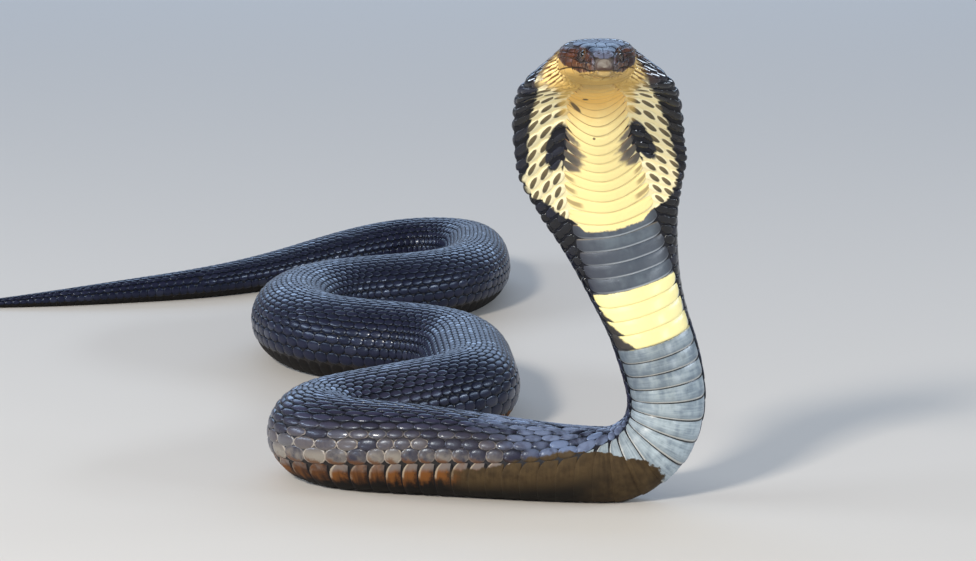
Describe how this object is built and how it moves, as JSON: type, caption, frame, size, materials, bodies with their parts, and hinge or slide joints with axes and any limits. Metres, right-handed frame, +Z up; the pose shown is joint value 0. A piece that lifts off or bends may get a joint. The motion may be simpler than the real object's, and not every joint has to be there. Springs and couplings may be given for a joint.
{
  "type": "monocled cobra",
  "caption": "Life-size still model of a dark monocled cobra, reared with its hood spread and its body lying in bends behind it.",
  "frame": {"origin": "middle of the footprint, on the floor", "axes": "+Z up; the cobra faces -Y, and its body lies back along +Y"},
  "size_m": [0.4038, 0.6766, 0.2165],
  "materials": {
    "back_scales": "glossy blue-black scales",
    "belly_plates": "satin slate-grey plates",
    "throat_plates": "satin yellow plates",
    "head_shields": "glossy dark brown shields",
    "eye": "wet black"
  },
  "bodies": {
    "root": {"head": "head_shields", "lower_jaw": "throat_plates", "eye_left": "eye", "eye_right": "eye", "hood": "throat_plates", "neck": "belly_plates", "torso_front": "back_scales", "torso_second": "back_scales", "torso_third": "back_scales", "torso_rear": "back_scales", "torso_end": "back_scales", "tail": "back_scales"}
  },
  "joints": []
}
